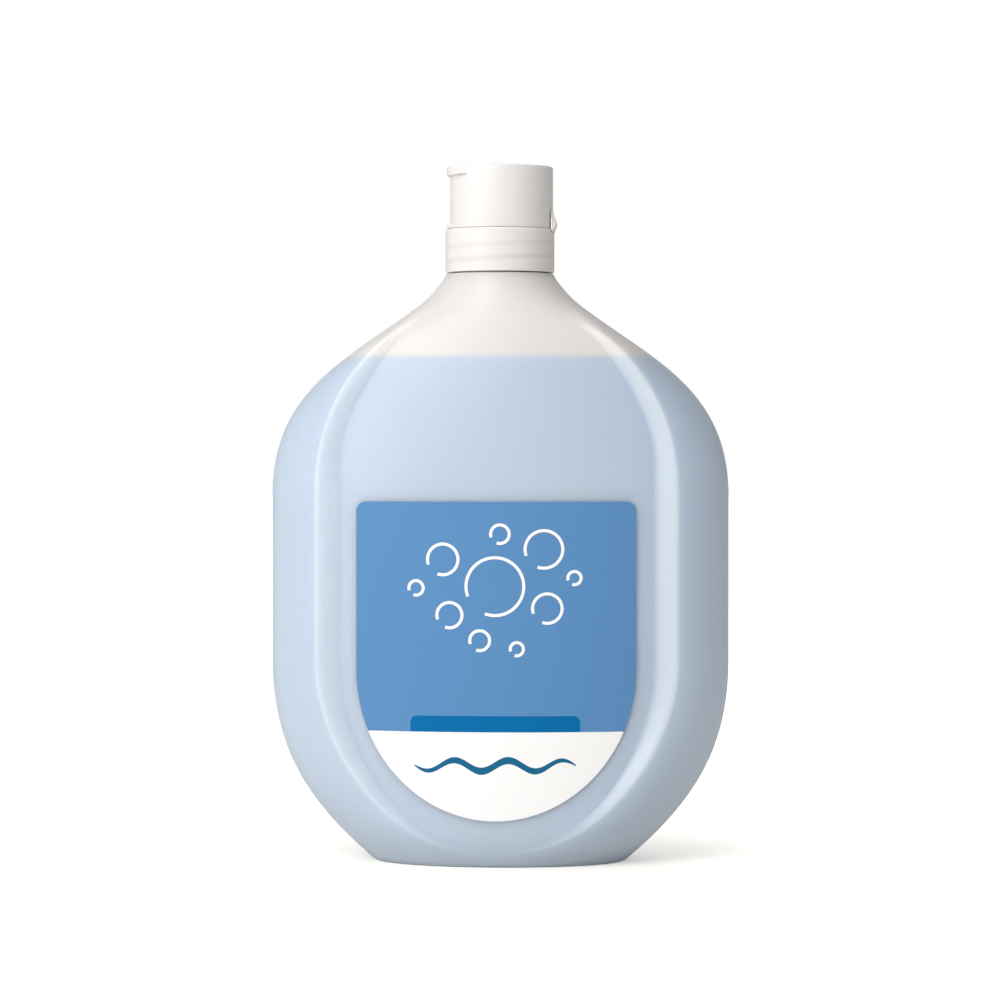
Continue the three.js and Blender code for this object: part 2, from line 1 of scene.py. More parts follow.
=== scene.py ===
import math
import bpy
import numpy as np
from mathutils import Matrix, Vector


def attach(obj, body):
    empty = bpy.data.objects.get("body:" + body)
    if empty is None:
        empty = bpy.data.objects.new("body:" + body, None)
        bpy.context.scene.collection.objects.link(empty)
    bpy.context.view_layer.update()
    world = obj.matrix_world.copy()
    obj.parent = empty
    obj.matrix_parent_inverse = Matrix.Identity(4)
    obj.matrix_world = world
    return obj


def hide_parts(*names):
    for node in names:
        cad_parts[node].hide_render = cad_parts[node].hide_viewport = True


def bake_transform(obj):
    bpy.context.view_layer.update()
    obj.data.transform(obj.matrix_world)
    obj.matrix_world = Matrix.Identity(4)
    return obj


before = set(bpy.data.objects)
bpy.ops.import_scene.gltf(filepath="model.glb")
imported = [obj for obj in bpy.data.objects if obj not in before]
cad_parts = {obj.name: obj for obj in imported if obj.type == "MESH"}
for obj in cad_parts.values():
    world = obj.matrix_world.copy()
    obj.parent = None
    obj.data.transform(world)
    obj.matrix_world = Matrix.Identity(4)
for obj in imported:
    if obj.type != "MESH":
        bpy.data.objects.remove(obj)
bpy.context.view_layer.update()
MM = 0.001

# Bottle
# One blow-moulded body of frosted plastic, oval in section, with a recessed panel front and
# back inside a raised frame, a pushed-up base and a screw finish. It is modelled closed, and
# stands for the soap too: pale blue up to the soap's level, and milky above it.
BODY_HALF_WIDTH = 69.3
BODY_HALF_DEPTH = 28.9
BASE_HALF_WIDTH = 38
BASE_HALF_DEPTH = 22
BASE_PUSH_UP = 2.5
STAND_RING = 7
HEEL_TOP = 60.7
HEEL_DEPTH_TOP = 14.6
SHOULDER_BOTTOM = 110.4
NECK_RADIUS = 16.2
NECK_TOP = 177.6
NECK_BLEND_BOTTOM = NECK_TOP - 24
NECK_BLEND_TOP = NECK_TOP - 4
FLARE_HALF_WIDTH = NECK_RADIUS + 9.7
FLARE_BOTTOM = NECK_TOP - 10.6
FRAME_TOP = NECK_TOP - 5.7
FRAME_TOP_HALF_DEPTH = NECK_RADIUS + 2
PANEL_RADIUS = 140
PANEL_HALF_WIDTH = 47.4
RIDGE_HALF_WIDTH = 53.7
RIDGE_FOOT = 3.8
RIDGE_SHOULDER = SHOULDER_BOTTOM + 2
RIDGE_LIMIT = 0.93
VALLEY_FOOT = 4.9
VALLEY_SHOULDER = SHOULDER_BOTTOM + 10
VALLEY_LIMIT = 0.94
FRAME_RISE = 1.6
FRAME_RISE_BOTTOM = 4
FRAME_RISE_TOP = 34
FRAME_LEAST_DEPTH = 0.55
FILLET_REACH = 0.6
FILLET_SAMPLES = 9
FINISH_RADIUS = 12.6
FINISH_BOTTOM = 178.1
BORE_RADIUS = 10.5
BORE_FLOOR = NECK_TOP - 1
LEDGE_TOP = 177.9
LEDGE_ROUND = 0.3
RIM_TOP = 188.3
RIM_ROUND = 0.4
THREAD_LEAD = 4.233
THREAD_BOTTOM = LEDGE_TOP + 2.6
THREAD_CREST = FINISH_RADIUS + 1.2
THREAD_HALF_CREST = 0.55
THREAD_FLANK = math.radians(30)
THREAD_SINK = 0.3
RUN_OUTS_PER_THREAD = 12
STEPS_PER_TURN = 96
SOAP_LEVEL = 152.4
RAMP_TOP = 200
SIDE_COLUMNS = 20
EDGE_COLUMNS = 6
PANEL_COLUMNS = 18
ROUND_COLUMNS = 4 * (SIDE_COLUMNS + EDGE_COLUMNS + PANEL_COLUMNS)
COLUMN_CROWDING = 1.5
HEEL_ROWS = 34
HEEL_CROWDING = 1.4
WALL_ROWS = 5
SHOULDER_ROWS = 48
SHOULDER_CROWDING = 1.3


def curve(start, end, pulls):
    """Points on a cubic curve, whose two handles are given as shares of the way across and up."""
    across_first, up_first, across_last, up_last = pulls
    share = np.linspace(0, 1, 60)
    weights = (1 - share) ** 3, 3 * (1 - share) ** 2 * share, 3 * (1 - share) * share**2, share**3
    wide = end[0] - start[0]
    tall = end[1] - start[1]
    across = start[0], start[0] + across_first * wide, start[0] + across_last * wide, end[0]
    up = start[1], start[1] + up_first * tall, start[1] + up_last * tall, end[1]
    return np.column_stack((np.dot(across, weights), np.dot(up, weights)))


def outline(*pieces):
    """The half width or half depth that the curves, put end to end, give at a height."""
    points = np.vstack(pieces)
    return lambda height: float(np.interp(height, points[:, 1], points[:, 0]))


half_width = outline(
    curve((BASE_HALF_WIDTH, 0), (BODY_HALF_WIDTH, HEEL_TOP), (0.585, 0.26, 1, 0.512)),
    curve((BODY_HALF_WIDTH, SHOULDER_BOTTOM), (FLARE_HALF_WIDTH, FLARE_BOTTOM), (0, 0.567, 0.521, 0.724)),
    curve((FLARE_HALF_WIDTH, FLARE_BOTTOM), (NECK_RADIUS, NECK_TOP), (0.423, 0.264, 0.856, 0.717)),
)
half_depth = outline(
    curve((BASE_HALF_DEPTH, 0), (BODY_HALF_DEPTH, HEEL_DEPTH_TOP), (0.565, 0.308, 1, 0.548)),
    curve((BODY_HALF_DEPTH, SHOULDER_BOTTOM), (FRAME_TOP_HALF_DEPTH, FRAME_TOP), (0, 0.458, 0.673, 0.837)),
    ((NECK_RADIUS, NECK_TOP),),
)
ridge_line = outline(
    curve((0, RIDGE_FOOT), (RIDGE_HALF_WIDTH, HEEL_TOP), (0.6, 0, 1, 0.578)),
    curve((RIDGE_HALF_WIDTH, RIDGE_SHOULDER), (NECK_RADIUS, FRAME_TOP), (0, 0.655, 0.859, 0.894)),
)
valley_line = outline(
    curve((0, VALLEY_FOOT), (PANEL_HALF_WIDTH, HEEL_TOP), (0.6, 0, 1, 0.554)),
    curve((PANEL_HALF_WIDTH, VALLEY_SHOULDER), (NECK_RADIUS, FRAME_TOP), (0, 0.369, 0.686, 0.831)),
)


def ridge_at(height):
    return min(ridge_line(height), RIDGE_LIMIT * half_width(height))


def valley_at(height):
    return min(valley_line(height), VALLEY_LIMIT * ridge_at(height))


def smoothstep(value, low, high):
    share = np.clip((value - low) / (high - low), 0, 1)
    return share * share * (3 - 2 * share)


def panel_depth(x, height):
    return half_depth(height) - PANEL_RADIUS + np.sqrt(PANEL_RADIUS**2 - np.asarray(x) ** 2)


def quarter_section(height):
    """A quarter of the level section: the side, the frame's edge from ridge to valley, and the panel."""
    width = half_width(height)
    ridge = ridge_at(height)
    valley = valley_at(height)
    rise = FRAME_RISE * smoothstep(height, FRAME_RISE_BOTTOM, FRAME_RISE_TOP)
    ridge_depth = panel_depth(valley, height) + rise
    oval = ridge_depth / math.sqrt(1 - (ridge / width) ** 2)
    angles = math.acos(ridge / width) * (1 - np.linspace(1, 0, SIDE_COLUMNS + 1) ** COLUMN_CROWDING)
    side = np.column_stack((width * np.cos(angles), oval * np.sin(angles)))
    shares = np.linspace(0, 1, EDGE_COLUMNS + 1)[1:-1, None]
    edge = side[-1] * (1 - shares) + np.array((valley, panel_depth(valley, height))) * shares
    x = valley * (1 - np.linspace(0, 1, PANEL_COLUMNS + 1) ** COLUMN_CROWDING)
    panel = np.column_stack((x, panel_depth(x, height)))
    points = np.vstack((side, edge, panel))
    turn = np.linspace(0, math.pi / 2, len(points))
    round_neck = np.column_stack((width * np.cos(turn), half_depth(height) * np.sin(turn)))
    neck = smoothstep(height, NECK_BLEND_BOTTOM, NECK_BLEND_TOP)
    return points * (1 - neck) + round_neck * neck


def full_section(height):
    """The level section once round, its ridges and valleys rounded by averaging along its length."""
    quarter = quarter_section(height)
    half = np.vstack((quarter, quarter[-2::-1] * (-1, 1)))
    loop = np.vstack((half, half[-2:0:-1] * (1, -1)))
    closed = np.vstack((loop, loop, loop, loop[:1]))
    along = np.concatenate(((0,), np.cumsum(np.hypot(*np.diff(closed, axis=0).T))))
    here = along[len(loop):2 * len(loop)]
    reach = FILLET_REACH * np.linspace(-1, 1, FILLET_SAMPLES)
    rounded = [[np.interp(here + r, along, closed[:, axis]) for r in reach] for axis in (0, 1)]
    return np.mean(rounded, axis=1).T


def round_section(radius):
    turn = np.linspace(0, 2 * math.pi, ROUND_COLUMNS, endpoint=False)
    return np.column_stack((radius * np.cos(turn), radius * np.sin(turn)))


def bottle_rows():
    """The bottle's sections with their heights, from the base's middle over the rim and into the bore."""
    base = full_section(0)
    ring = 1 - STAND_RING / BASE_HALF_WIDTH
    rows = [(base * ring * share, BASE_PUSH_UP) for share in (0, 0.3, 0.6)]
    for share in (0.25, 0.5, 0.75):
        height = BASE_PUSH_UP * (1 + math.cos(math.pi * share)) / 2
        rows.append((base * ring * (0.6 + 0.4 * share), height))
    rows += [(base * share, 0) for share in (ring, 0.92, 0.985)]
    wall = SHOULDER_BOTTOM - HEEL_TOP
    shoulder = NECK_TOP - SHOULDER_BOTTOM
    heights = [HEEL_TOP * (i / HEEL_ROWS) ** HEEL_CROWDING for i in range(1, HEEL_ROWS + 1)]
    heights += [HEEL_TOP + wall * i / WALL_ROWS for i in range(1, WALL_ROWS)]
    for i in range(SHOULDER_ROWS + 1):
        heights.append(NECK_TOP - shoulder * (1 - i / SHOULDER_ROWS) ** SHOULDER_CROWDING)
    rows += [(full_section(height), height) for height in heights]
    finish = (
        (FINISH_RADIUS + LEDGE_ROUND, LEDGE_TOP - LEDGE_ROUND / 2),
        (FINISH_RADIUS, FINISH_BOTTOM),
        (FINISH_RADIUS, RIM_TOP - RIM_ROUND),
        (FINISH_RADIUS - RIM_ROUND, RIM_TOP),
        (BORE_RADIUS + RIM_ROUND / 2, RIM_TOP),
        (BORE_RADIUS, RIM_TOP - RIM_ROUND / 2),
        (BORE_RADIUS, NECK_TOP),
        (BORE_RADIUS - 1, BORE_FLOOR),
        (0, BORE_FLOOR),
    )
    return rows + [(round_section(radius), z) for radius, z in finish]


def wall_highlight_share(x, y, z):
    """How far a point lies on the frame's inner wall, from 0 to 1, with soft edges. This is the share of
    painted highlight there.
    """
    if not FRAME_RISE_BOTTOM < z < NECK_BLEND_TOP or abs(y) <= FRAME_LEAST_DEPTH * half_depth(z):
        return 0
    ridge = ridge_at(z)
    valley = valley_at(z)
    across = smoothstep(abs(x), valley - 0.5, valley + 0.3) - smoothstep(abs(x), ridge, ridge + 0.8)
    return across * smoothstep(z, 6, 30) * (1 - smoothstep(z, NECK_TOP - 15, NECK_TOP - 6))


def select_none():
    if bpy.context.mode != "OBJECT":
        bpy.ops.object.mode_set(mode="OBJECT")
    bpy.ops.object.select_all(action="DESELECT")


def select_only(piece):
    select_none()
    piece.select_set(True)
    bpy.context.view_layer.objects.active = piece


def name_new(name):
    """Names the primitive that was just added."""
    piece = bpy.context.object
    piece.name = name
    piece.data.name = name
    return piece


def grid_piece(name, columns, rows, place):
    """A grid, each of whose points place() sets from its column and row, with its seams closed."""
    select_none()
    bpy.ops.mesh.primitive_grid_add(x_subdivisions=columns, y_subdivisions=rows, size=2)
    piece = name_new(name)
    for point in piece.data.vertices:
        column = round((point.co.x + 1) / 2 * columns)
        row = round((point.co.y + 1) / 2 * rows)
        point.co = Vector(place(column, row)) * MM
    bpy.ops.object.mode_set(mode="EDIT")
    bpy.ops.mesh.select_all(action="SELECT")
    bpy.ops.mesh.remove_doubles(threshold=1e-6)
    bpy.ops.mesh.normals_make_consistent(inside=False)
    bpy.ops.object.mode_set(mode="OBJECT")
    bpy.ops.object.shade_smooth()
    return piece


def screw_thread(name, root, crest, start_angle, turns, lift):
    """A helical ridge that runs out at both ends, sunk a little into the wall it stands on."""
    outward = 1 if crest > root else -1
    tall = abs(crest - root)
    tip = THREAD_HALF_CREST
    foot = tip + tall * math.tan(THREAD_FLANK)
    corners = (-THREAD_SINK, -foot), (0, -foot), (1, -tip), (1, tip), (0, foot), (-THREAD_SINK, foot)
    columns = round(STEPS_PER_TURN * turns)

    def place(column, row):
        share = column / columns
        out, up = corners[row % len(corners)]
        height = tall * min(1, RUN_OUTS_PER_THREAD * min(share, 1 - share)) if out > 0 else 1
        angle = start_angle + share * turns * 2 * math.pi
        radius = root + outward * out * height
        z = THREAD_BOTTOM + lift + up + THREAD_LEAD * angle / (2 * math.pi)
        return radius * math.cos(angle), radius * math.sin(angle), z

    piece = grid_piece(name, columns, len(corners), place)
    bpy.ops.object.mode_set(mode="EDIT")
    bpy.ops.mesh.select_all(action="SELECT")
    bpy.ops.mesh.fill_holes(sides=0)
    bpy.ops.mesh.normals_make_consistent(inside=False)
    bpy.ops.object.mode_set(mode="OBJECT")
    return piece


def join(piece, other):
    select_only(piece)
    other.select_set(True)
    bpy.ops.object.join()
    return piece


rows = bottle_rows()
bottle_body = grid_piece("bottle_body", ROUND_COLUMNS, len(rows) - 1,
                         lambda column, row: (*rows[row][0][column % ROUND_COLUMNS], rows[row][1]))
# Each point keeps its share of the painted highlight on the frame's inner wall.
wall_highlight = bottle_body.data.attributes.new("wall_highlight", "FLOAT", "POINT")
for index, point in enumerate(bottle_body.data.vertices):
    wall_highlight.data[index].value = wall_highlight_share(*(point.co / MM))
bottle_thread = screw_thread("bottle_thread", FINISH_RADIUS, THREAD_CREST, start_angle=0, turns=1.4, lift=0)
bottle_body = join(bottle_body, bottle_thread)


def linear(red, green, blue):
    return [((c / 255 + 0.055) / 1.055) ** 2.4 for c in (red, green, blue)] + [1]


def new_material(name, roughness, **sockets):
    """A material whose shader's own sockets hold what stays the same all over the surface."""
    made = bpy.data.materials.new(name)
    made.use_nodes = True
    shader = made.node_tree.nodes["Principled BSDF"]
    shader.inputs["Roughness"].default_value = roughness
    for socket, value in sockets.items():
        shader.inputs[socket.replace("_", " ")].default_value = value
    return made, made.node_tree.nodes, made.node_tree.links, shader


def new_group(name, inputs, outputs):
    group = bpy.data.node_groups.new(name, "ShaderNodeTree")
    for socket, kind, value in inputs:
        made = group.interface.new_socket(name=socket, in_out="INPUT", socket_type="NodeSocket" + kind)
        if value is not None:
            made.default_value = value
    for socket, kind in outputs:
        group.interface.new_socket(name=socket, in_out="OUTPUT", socket_type="NodeSocket" + kind)
    return group, group.nodes.new("NodeGroupInput"), group.nodes.new("NodeGroupOutput")


def feed(links, value, socket):
    """Links another node's output to a socket, or sets the socket to a plain value."""
    if isinstance(value, bpy.types.NodeSocket):
        links.new(value, socket)
    elif value is not None:
        socket.default_value = value


def add_math(nodes, links, operation, first, second=None, third=None):
    node = nodes.new("ShaderNodeMath")
    node.operation = operation
    for socket, value in zip(node.inputs, (first, second, third)):
        feed(links, value, socket)
    return node.outputs[0]


def scale_colour(nodes, links, colour, scale):
    node = nodes.new("ShaderNodeVectorMath")
    node.operation = "SCALE"
    feed(links, colour, node.inputs[0])
    links.new(scale, node.inputs["Scale"])
    return node.outputs[0]


def mix_colours(nodes, links, share, first, second):
    node = nodes.new("ShaderNodeMix")
    node.data_type = "RGBA"
    links.new(share, node.inputs[0])
    feed(links, first, node.inputs[6])
    feed(links, second, node.inputs[7])
    return node.outputs[2]


def own_place(nodes, links):
    """Where a point is on its own piece, in metres, as outputs X, Y and Z."""
    place = nodes.new("ShaderNodeTexCoord")
    split = nodes.new("ShaderNodeSeparateXYZ")
    links.new(place.outputs["Object"], split.inputs[0])
    return split.outputs


def moulded_surface():
    """Slight unevenness of moulded plastic: blotches in its colour, in its sheen and in its height."""
    group, given, out = new_group("moulded_surface", (
        ("Colour", "Color", None), ("Roughness", "Float", 0.4), ("Blotches", "Float", 0.03),
        ("Grain", "Float", 900.0)), (("Colour", "Color"), ("Roughness", "Float"), ("Height", "Float")))
    nodes, links = group.nodes, group.links
    place = nodes.new("ShaderNodeTexCoord")
    wide = nodes.new("ShaderNodeTexNoise")
    wide.inputs["Scale"].default_value = 28
    wide.inputs["Detail"].default_value = 3
    links.new(place.outputs["Object"], wide.inputs["Vector"])
    fine = nodes.new("ShaderNodeTexNoise")
    fine.inputs["Detail"].default_value = 2
    links.new(place.outputs["Object"], fine.inputs["Vector"])
    links.new(given.outputs["Grain"], fine.inputs["Scale"])
    swing = add_math(nodes, links, "SUBTRACT", wide.outputs["Fac"], 0.5)
    shade = add_math(nodes, links, "MULTIPLY_ADD", swing, given.outputs["Blotches"], 1.0)
    sheen = add_math(nodes, links, "MULTIPLY_ADD", swing, 0.15, given.outputs["Roughness"])
    links.new(scale_colour(nodes, links, given.outputs["Colour"], shade), out.inputs["Colour"])
    links.new(sheen, out.inputs["Roughness"])
    links.new(fine.outputs["Fac"], out.inputs["Height"])
    return group


MOULDED = moulded_surface()


def dress(nodes, links, shader, colour, blotches, grain, depth):
    """Puts the moulded unevenness between a colour and the shader, with a bump of the given depth."""
    surface = nodes.new("ShaderNodeGroup")
    surface.node_tree = MOULDED
    feed(links, colour, surface.inputs["Colour"])
    surface.inputs["Roughness"].default_value = shader.inputs["Roughness"].default_value
    surface.inputs["Blotches"].default_value = blotches
    surface.inputs["Grain"].default_value = grain
    bump = nodes.new("ShaderNodeBump")
    bump.inputs["Strength"].default_value = 1
    bump.inputs["Distance"].default_value = depth
    links.new(surface.outputs["Colour"], shader.inputs["Base Color"])
    links.new(surface.outputs["Roughness"], shader.inputs["Roughness"])
    links.new(surface.outputs["Height"], bump.inputs["Height"])
    links.new(bump.outputs["Normal"], shader.inputs["Normal"])


def frosted_plastic():
    """Light goes a little way in. It is milky above the soap's level, and the frame's inner wall carries a
    painted highlight.
    """
    made, nodes, links, shader = new_material(
        "frosted_plastic", 0.38, Specular_IOR_Level=0.5, Subsurface_Weight=1, Subsurface_Scale=0.012)
    shader.inputs["Subsurface Radius"].default_value = (1, 1, 1)
    level = nodes.new("ShaderNodeValToRGB")
    ramp = level.color_ramp
    ramp.interpolation = "EASE"
    stops = (
        (SOAP_LEVEL - 40, (195, 210, 227)),
        (SOAP_LEVEL - 4, (193, 208, 225)),
        (SOAP_LEVEL - 1, (196, 209, 224)),
        (SOAP_LEVEL + 1, (226, 223, 221)),
        (NECK_TOP, (230, 226, 223)),
    )
    while len(ramp.elements) < len(stops):
        ramp.elements.new(0.5)
    for element, (height, colour) in zip(ramp.elements, stops):
        element.position = height / RAMP_TOP
        element.color = linear(*colour)
    height = own_place(nodes, links)["Z"]
    links.new(add_math(nodes, links, "DIVIDE", height, RAMP_TOP * MM), level.inputs["Fac"])
    # Painted highlight: the frame's inner wall is mixed halfway towards a lighter copy of the colour.
    wall = nodes.new("ShaderNodeAttribute")
    wall.attribute_name = "wall_highlight"
    highlight_colour = nodes.new("ShaderNodeGamma")
    highlight_colour.inputs["Gamma"].default_value = 0.5
    links.new(level.outputs["Color"], highlight_colour.inputs["Color"])
    share = add_math(nodes, links, "MULTIPLY", wall.outputs["Fac"], 0.5)
    colour = mix_colours(nodes, links, share, level.outputs["Color"], highlight_colour.outputs["Color"])
    dress(nodes, links, shader, colour, blotches=0.03, grain=700, depth=0.00001)
    return made


bottle_body.data.materials.clear()
bottle_body.data.materials.append(frosted_plastic())
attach(bottle_body, "bottle")
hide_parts("bottle", "soap")

# Front label
# One film of white plastic, rounded below like the panel and printed in flat colours: a blue
# field with open rings for bubbles, a dark blue tab on its lower edge, and a wave under it.
LABEL_HALF_WIDTH = 41.6
LABEL_TOP = 109
LABEL_BOTTOM = 14.6
LABEL_BOW = 44.7
LABEL_BOW_TOP = LABEL_BOTTOM + LABEL_BOW
LABEL_CORNER = 2.8
LABEL_GAP = 0.2
LABEL_FILM = 0.3
LABEL_COLUMNS = 40
LABEL_BOW_ROWS = 40
LABEL_SIDE_ROWS = 6
LABEL_CORNER_ROWS = 8
FILM_WHITE = 254, 254, 254
FIELD_BLUE = 94, 144, 194
FIELD_BOTTOM = 40.9
BUBBLES = (
    (0, 84, 9),
    (-15.5, 92, 5),
    (14.5, 95, 6),
    (-13.5, 75.5, 4.2),
    (15.5, 77.5, 4.8),
    (1.5, 99.5, 3.2),
    (-4.5, 68, 3.4),
    (6.5, 65.5, 2.4),
    (-23.5, 83.5, 2.6),
    (23.5, 86.5, 2.4),
)
BUBBLE_LINE = 0.9
BUBBLE_OPENING = math.radians(25)
TAB_BLUE = 0, 110, 172
TAB_HALF_WIDTH = 25.2
TAB_TOP = 45.7
TAB_CORNER = 2
WAVE_BLUE = 30, 105, 145
WAVE_MIDDLE = 31
WAVE_HALF_WIDTH = 24
WAVE_LENGTH = 16
WAVE_RISE = 1.6
WAVE_HALF_LINE = 1
WAVE_HALF_TIP = 0.1
FILM_FINISH = {"blotches": 0.015, "grain": 1500, "depth": 0.000004}


def label_half_width(z):
    if z < LABEL_BOW_TOP:
        return LABEL_HALF_WIDTH * math.sqrt(max(0, 1 - ((LABEL_BOW_TOP - z) / LABEL_BOW) ** 2))
    short = max(0, z - LABEL_TOP + LABEL_CORNER)
    return LABEL_HALF_WIDTH - LABEL_CORNER + math.sqrt(max(0, LABEL_CORNER**2 - short**2))


def label_piece(name, side):
    """A film that lies on the panel, on the front where side is -1 and on the back where it is 1."""
    quarter = math.pi / 2
    tall = LABEL_TOP - LABEL_CORNER - LABEL_BOW_TOP
    heights = [LABEL_BOW_TOP - LABEL_BOW * math.cos(quarter * i / LABEL_BOW_ROWS)
               for i in range(LABEL_BOW_ROWS + 1)]
    heights += [LABEL_BOW_TOP + tall * i / LABEL_SIDE_ROWS for i in range(1, LABEL_SIDE_ROWS + 1)]
    heights += [LABEL_TOP - LABEL_CORNER * (1 - math.sin(quarter * i / LABEL_CORNER_ROWS))
                for i in range(1, LABEL_CORNER_ROWS + 1)]
    widths = [label_half_width(z) for z in heights]

    def place(column, row):
        x = widths[row] * (2 * column / LABEL_COLUMNS - 1)
        return x, side * (float(panel_depth(x, HEEL_TOP)) + LABEL_GAP), heights[row]

    piece = grid_piece(name, LABEL_COLUMNS, len(heights) - 1, place)
    outward = side * sum(face.normal.y for face in piece.data.polygons)
    if outward < 0:
        bpy.ops.object.mode_set(mode="EDIT")
        bpy.ops.mesh.select_all(action="SELECT")
        bpy.ops.mesh.flip_normals()
        bpy.ops.object.mode_set(mode="OBJECT")
    film = piece.modifiers.new("film", "SOLIDIFY")
    film.thickness = LABEL_FILM * MM
    film.offset = 1
    bpy.ops.object.modifier_apply(modifier="film")
    bpy.ops.object.shade_smooth_by_angle(angle=math.radians(40))
    return piece


def open_ring_group():
    """A soap bubble as an open ring, from its middle and its radius, in metres."""
    group, given, out = new_group("open_ring", (
        ("Across", "Float", 0.0), ("Up", "Float", 0.0), ("Middle Across", "Float", 0.0),
        ("Middle Up", "Float", 0.0), ("Radius", "Float", 0.005), ("Line", "Float", BUBBLE_LINE * MM),
        ("Before", "Float", 0.0)), (("Mask", "Float"),))
    nodes, links = group.nodes, group.links
    x = add_math(nodes, links, "SUBTRACT", given.outputs["Across"], given.outputs["Middle Across"])
    z = add_math(nodes, links, "SUBTRACT", given.outputs["Up"], given.outputs["Middle Up"])
    squares = add_math(nodes, links, "MULTIPLY_ADD", z, z, add_math(nodes, links, "MULTIPLY", x, x))
    far = add_math(nodes, links, "SQRT", squares)
    outside = add_math(nodes, links, "SUBTRACT", far, given.outputs["Radius"])
    within = add_math(nodes, links, "LESS_THAN", outside, 0.0)
    inner = add_math(nodes, links, "ADD", outside, given.outputs["Line"])
    on_line = add_math(nodes, links, "MULTIPLY", within, add_math(nodes, links, "GREATER_THAN", inner, 0.0))
    towards = add_math(nodes, links, "MULTIPLY", add_math(nodes, links, "ADD", x, z), -math.sqrt(0.5))
    limit = add_math(nodes, links, "MULTIPLY", far, math.cos(BUBBLE_OPENING))
    ring = add_math(nodes, links, "MULTIPLY", on_line, add_math(nodes, links, "LESS_THAN", towards, limit))
    links.new(add_math(nodes, links, "MAXIMUM", ring, given.outputs["Before"]), out.inputs["Mask"])
    return group


def bubble_mask(nodes, links, x, z):
    """Where any of the open rings is. Each ring passes on those before it."""
    ring = open_ring_group()
    bubbles = None
    for across, up, radius in BUBBLES:
        node = nodes.new("ShaderNodeGroup")
        node.node_tree = ring
        links.new(x, node.inputs["Across"])
        links.new(z, node.inputs["Up"])
        node.inputs["Middle Across"].default_value = across * MM
        node.inputs["Middle Up"].default_value = up * MM
        node.inputs["Radius"].default_value = radius * MM
        feed(links, bubbles, node.inputs["Before"])
        bubbles = node.outputs["Mask"]
    return bubbles


def tab_mask(nodes, links, x, z):
    """Where the tab is, a plain field with round upper corners. Its foot is cut off by the caller."""
    side = add_math(nodes, links, "ABSOLUTE", x)
    side = add_math(nodes, links, "SUBTRACT", side, (TAB_HALF_WIDTH - TAB_CORNER) * MM)
    side = add_math(nodes, links, "MAXIMUM", side, 0.0)
    top = add_math(nodes, links, "SUBTRACT", z, (TAB_TOP - TAB_CORNER) * MM)
    top = add_math(nodes, links, "MAXIMUM", top, 0.0)
    squares = add_math(nodes, links, "MULTIPLY_ADD", side, side, add_math(nodes, links, "MULTIPLY", top, top))
    return add_math(nodes, links, "LESS_THAN", add_math(nodes, links, "SQRT", squares), TAB_CORNER * MM)


def wave_mask(nodes, links, x, z):
    """Where the wave is, a wavy line that is thickest in the middle and tapers to both ends."""
    turn = add_math(nodes, links, "MULTIPLY", x, 2 * math.pi / (WAVE_LENGTH * MM))
    swell = add_math(nodes, links, "MULTIPLY", add_math(nodes, links, "SINE", turn), WAVE_RISE * MM)
    off = add_math(nodes, links, "SUBTRACT", z, WAVE_MIDDLE * MM)
    off = add_math(nodes, links, "ABSOLUTE", add_math(nodes, links, "SUBTRACT", off, swell))
    taper = add_math(nodes, links, "MULTIPLY", x, math.pi / (2 * WAVE_HALF_WIDTH * MM))
    taper = add_math(nodes, links, "MAXIMUM", add_math(nodes, links, "COSINE", taper), 0.0)
    half = add_math(nodes, links, "SQRT", taper)
    half = add_math(nodes, links, "MULTIPLY_ADD", half, WAVE_HALF_LINE * MM, WAVE_HALF_TIP * MM)
    within = add_math(nodes, links, "LESS_THAN", add_math(nodes, links, "ABSOLUTE", x), WAVE_HALF_WIDTH * MM)
    return add_math(nodes, links, "MULTIPLY", add_math(nodes, links, "LESS_THAN", off, half), within)


def label_print():
    made, nodes, links, shader = new_material("label_print", 0.5, Specular_IOR_Level=0.08)
    place = own_place(nodes, links)
    x, z = place["X"], place["Z"]
    upper = add_math(nodes, links, "GREATER_THAN", z, FIELD_BOTTOM * MM)
    plain = add_math(nodes, links, "SUBTRACT", 1.0, bubble_mask(nodes, links, x, z))
    blue = add_math(nodes, links, "MULTIPLY", upper, plain)
    tab = add_math(nodes, links, "MULTIPLY", tab_mask(nodes, links, x, z), upper)
    wave = wave_mask(nodes, links, x, z)
    colour = linear(*FILM_WHITE)
    for mask, ink in ((blue, FIELD_BLUE), (tab, TAB_BLUE), (wave, WAVE_BLUE)):
        colour = mix_colours(nodes, links, mask, colour, linear(*ink))
    dress(nodes, links, shader, colour, **FILM_FINISH)
    return made


front_label = label_piece("front_label_film", -1)
front_label.data.materials.append(label_print())
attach(front_label, "bottle")
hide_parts("front_label", "front_label_blue_field", "front_label_tab", "front_label_wave")

# Back label
# The same film on the back panel, left plain white with a blue edge along its straight top.
BACK_WHITE = 248, 249, 250
BACK_EDGE_BOTTOM = 99
back_label = label_piece("back_label_film", 1)
made, nodes, links, shader = new_material("back_label_print", 0.5, Specular_IOR_Level=0.08)
edge = add_math(nodes, links, "GREATER_THAN", own_place(nodes, links)["Z"], BACK_EDGE_BOTTOM * MM)
colour = mix_colours(nodes, links, edge, linear(*BACK_WHITE), linear(*FIELD_BLUE))
dress(nodes, links, shader, colour, **FILM_FINISH)
back_label.data.materials.append(made)
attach(back_label, "bottle")
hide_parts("back_label")

